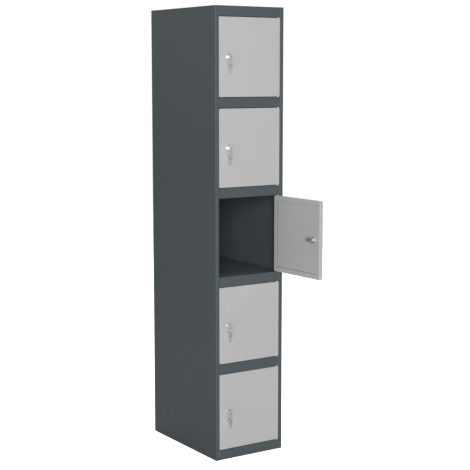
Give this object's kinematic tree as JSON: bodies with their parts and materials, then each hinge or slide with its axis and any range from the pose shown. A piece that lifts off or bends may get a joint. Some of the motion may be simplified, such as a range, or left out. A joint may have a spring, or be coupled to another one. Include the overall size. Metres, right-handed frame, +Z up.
{
  "type": "compartment locker",
  "caption": "Tall narrow sheet-steel locker: compartments stacked in one column, each with an inset hinged door, cam lock and key; one door stands open.",
  "frame": {"origin": "middle of the cabinet's footprint, on the floor", "axes": "+Z up, +X to the right as seen from the front, +Y from the door side to the back"},
  "size_m": [0.3451, 0.7747, 1.8],
  "materials": {
    "body_paint": "anthracite grey powder coat, satin, fine orange peel",
    "door_paint": "light grey powder coat, satin, fine orange peel",
    "lock_chrome": "bright chrome plate",
    "nut_zinc": "clear zinc plated steel",
    "bracket_steel": "plain steel, lightly oiled",
    "key_nickel": "nickel plated, worn where it is handled",
    "bush_nylon": "natural nylon",
    "buffer_rubber": "black rubber"
  },
  "bodies": {
    "cabinet": {"left_side_panel": "body_paint", "right_side_panel": "body_paint", "back_panel": "body_paint", "top_panel": "body_paint", "base_panel": "body_paint", "pivot_bushes": "bush_nylon", "door_buffers": "buffer_rubber", "shelf_1": "body_paint", "shelf_2": "body_paint", "shelf_3": "body_paint", "shelf_4": "body_paint"},
    "door_1": {"door_1_outer_pan": "door_paint", "door_1_inner_tray": "door_paint", "door_1_pivot_brackets": "bracket_steel", "door_1_lock_housing": "lock_chrome", "door_1_lock_nut": "nut_zinc"},
    "lock_1": {"door_1_lock_plug": "lock_chrome", "door_1_lock_cam": "nut_zinc"},
    "key_1": {"door_1_key": "key_nickel"},
    "key_ring_1": {"door_1_key_ring": "key_nickel"},
    "door_2": {"door_2_outer_pan": "door_paint", "door_2_inner_tray": "door_paint", "door_2_pivot_brackets": "bracket_steel", "door_2_lock_housing": "lock_chrome", "door_2_lock_nut": "nut_zinc"},
    "lock_2": {"door_2_lock_plug": "lock_chrome", "door_2_lock_cam": "nut_zinc"},
    "key_2": {"door_2_key": "key_nickel"},
    "key_ring_2": {"door_2_key_ring": "key_nickel"},
    "door_3": {"door_3_outer_pan": "door_paint", "door_3_inner_tray": "door_paint", "door_3_pivot_brackets": "bracket_steel", "door_3_lock_housing": "lock_chrome", "door_3_lock_nut": "nut_zinc"},
    "lock_3": {"door_3_lock_plug": "lock_chrome", "door_3_lock_cam": "nut_zinc"},
    "key_3": {"door_3_key": "key_nickel"},
    "key_ring_3": {"door_3_key_ring": "key_nickel"},
    "door_4": {"door_4_outer_pan": "door_paint", "door_4_inner_tray": "door_paint", "door_4_pivot_brackets": "bracket_steel", "door_4_lock_housing": "lock_chrome", "door_4_lock_nut": "nut_zinc"},
    "lock_4": {"door_4_lock_plug": "lock_chrome", "door_4_lock_cam": "nut_zinc"},
    "key_4": {"door_4_key": "key_nickel"},
    "key_ring_4": {"door_4_key_ring": "key_nickel"},
    "door_5": {"door_5_outer_pan": "door_paint", "door_5_inner_tray": "door_paint", "door_5_pivot_brackets": "bracket_steel", "door_5_lock_housing": "lock_chrome", "door_5_lock_nut": "nut_zinc"},
    "lock_5": {"door_5_lock_plug": "lock_chrome", "door_5_lock_cam": "nut_zinc"},
    "key_5": {"door_5_key": "key_nickel"},
    "key_ring_5": {"door_5_key_ring": "key_nickel"}
  },
  "joints": [
    {"name": "door_1_hinge", "type": "hinge", "parent": "cabinet", "child": "door_1", "pos_m": [0.1365, -0.2455, 1.604], "axis": [0, 0, 1], "range_deg": [0, 110]},
    {"name": "lock_1_turn", "type": "hinge", "parent": "door_1", "child": "lock_1", "pos_m": [-0.105, -0.25, 1.604], "axis": [0, -1, 0], "range_deg": [-180, 0]},
    {"name": "key_1_pull", "type": "slide", "parent": "lock_1", "child": "key_1", "axis": [0, -1, 0], "range_m": [0, 0.045]},
    {"name": "key_ring_1_swing", "type": "hinge", "parent": "key_1", "child": "key_ring_1", "pos_m": [-0.105, -0.2705, 1.604], "axis": [-1, 0, 0], "range_deg": [0, 180]},
    {"name": "door_2_hinge", "type": "hinge", "parent": "cabinet", "child": "door_2", "pos_m": [0.1365, -0.2455, 1.252], "axis": [0, 0, 1], "range_deg": [0, 110]},
    {"name": "lock_2_turn", "type": "hinge", "parent": "door_2", "child": "lock_2", "pos_m": [-0.105, -0.25, 1.252], "axis": [0, -1, 0], "range_deg": [-180, 0]},
    {"name": "key_2_pull", "type": "slide", "parent": "lock_2", "child": "key_2", "axis": [0, -1, 0], "range_m": [0, 0.045]},
    {"name": "key_ring_2_swing", "type": "hinge", "parent": "key_2", "child": "key_ring_2", "pos_m": [-0.105, -0.2705, 1.252], "axis": [-1, 0, 0], "range_deg": [0, 180]},
    {"name": "door_3_hinge", "type": "hinge", "parent": "cabinet", "child": "door_3", "pos_m": [0.1365, -0.2455, 0.9], "axis": [0, 0, 1], "range_deg": [-93, 17]},
    {"name": "lock_3_turn", "type": "hinge", "parent": "door_3", "child": "lock_3", "pos_m": [0.15363, -0.48643, 0.9], "axis": [0.9986, 0.0523, 0], "range_deg": [-180, 0]},
    {"name": "key_3_pull", "type": "slide", "parent": "lock_3", "child": "key_3", "axis": [0.9986, 0.0523, 0], "range_m": [0, 0.045]},
    {"name": "key_ring_3_swing", "type": "hinge", "parent": "key_3", "child": "key_ring_3", "pos_m": [0.17411, -0.48536, 0.9], "axis": [0.0523, -0.9986, 0], "range_deg": [0, 180]},
    {"name": "door_4_hinge", "type": "hinge", "parent": "cabinet", "child": "door_4", "pos_m": [0.1365, -0.2455, 0.548], "axis": [0, 0, 1], "range_deg": [0, 110]},
    {"name": "lock_4_turn", "type": "hinge", "parent": "door_4", "child": "lock_4", "pos_m": [-0.105, -0.25, 0.548], "axis": [0, -1, 0], "range_deg": [-180, 0]},
    {"name": "key_4_pull", "type": "slide", "parent": "lock_4", "child": "key_4", "axis": [0, -1, 0], "range_m": [0, 0.045]},
    {"name": "key_ring_4_swing", "type": "hinge", "parent": "key_4", "child": "key_ring_4", "pos_m": [-0.105, -0.2705, 0.548], "axis": [-1, 0, 0], "range_deg": [0, 180]},
    {"name": "door_5_hinge", "type": "hinge", "parent": "cabinet", "child": "door_5", "pos_m": [0.1365, -0.2455, 0.196], "axis": [0, 0, 1], "range_deg": [0, 110]},
    {"name": "lock_5_turn", "type": "hinge", "parent": "door_5", "child": "lock_5", "pos_m": [-0.105, -0.25, 0.196], "axis": [0, -1, 0], "range_deg": [-180, 0]},
    {"name": "key_5_pull", "type": "slide", "parent": "lock_5", "child": "key_5", "axis": [0, -1, 0], "range_m": [0, 0.045]},
    {"name": "key_ring_5_swing", "type": "hinge", "parent": "key_5", "child": "key_ring_5", "pos_m": [-0.105, -0.2705, 0.196], "axis": [-1, 0, 0], "range_deg": [0, 180]}
  ],
  "couplings": [
    {"joint": "key_ring_1_swing", "follows": "lock_1_turn", "ratio": -1},
    {"joint": "key_ring_2_swing", "follows": "lock_2_turn", "ratio": -1},
    {"joint": "key_ring_3_swing", "follows": "lock_3_turn", "ratio": -1},
    {"joint": "key_ring_4_swing", "follows": "lock_4_turn", "ratio": -1},
    {"joint": "key_ring_5_swing", "follows": "lock_5_turn", "ratio": -1}
  ]
}
